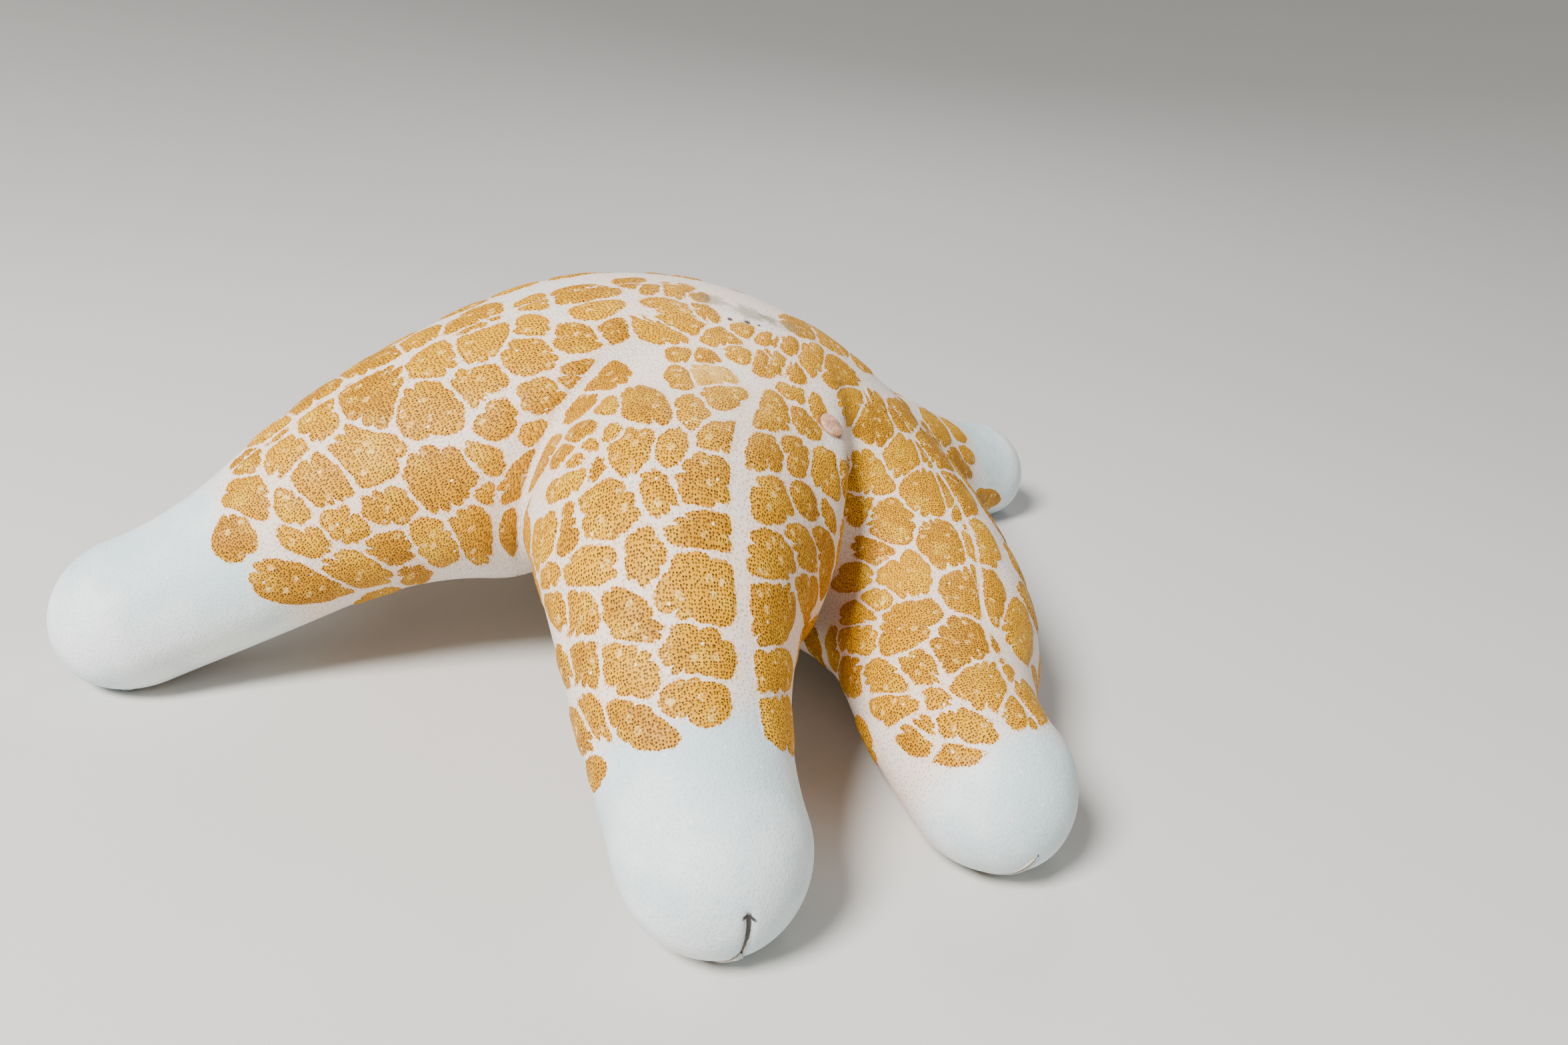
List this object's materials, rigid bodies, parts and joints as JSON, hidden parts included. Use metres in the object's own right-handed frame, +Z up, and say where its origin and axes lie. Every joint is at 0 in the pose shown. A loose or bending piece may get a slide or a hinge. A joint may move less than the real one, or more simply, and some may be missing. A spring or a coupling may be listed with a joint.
{
  "type": "sea star",
  "caption": "Life-size still model of a stout granulated sea star draped in a living pose, pale skin with golden brown patches and plain white arm ends.",
  "frame": {"origin": "on the floor, under the middle of the model's bounding box", "axes": "+Z up from the floor; the arm nearest the picture's camera points towards -Y, and +X is to that camera's right"},
  "size_m": [0.213, 0.2348, 0.0794],
  "materials": {
    "flesh": "soft satin skin, pale pinkish white with golden brown patches of dark dots",
    "pale_end": "soft satin skin, plain bluish white",
    "sieve_plate": "matt, finely grooved, pinkish brown with a darker rim",
    "mouth_skin": "soft moist skin, pinkish brown"
  },
  "bodies": {
    "root": {"disc": "flesh", "sieve_plate": "sieve_plate", "mouth_skin": "mouth_skin", "arm_front_base": "flesh", "arm_front_middle": "flesh", "arm_front_tip": "pale_end", "arm_right_base": "flesh", "arm_right_middle": "flesh", "arm_right_tip": "pale_end", "arm_back_right_base": "flesh", "arm_back_right_middle": "flesh", "arm_back_right_tip": "pale_end", "arm_back_left_base": "flesh", "arm_back_left_middle": "flesh", "arm_back_left_tip": "pale_end", "arm_left_base": "flesh", "arm_left_middle": "flesh", "arm_left_tip": "pale_end"}
  },
  "joints": []
}
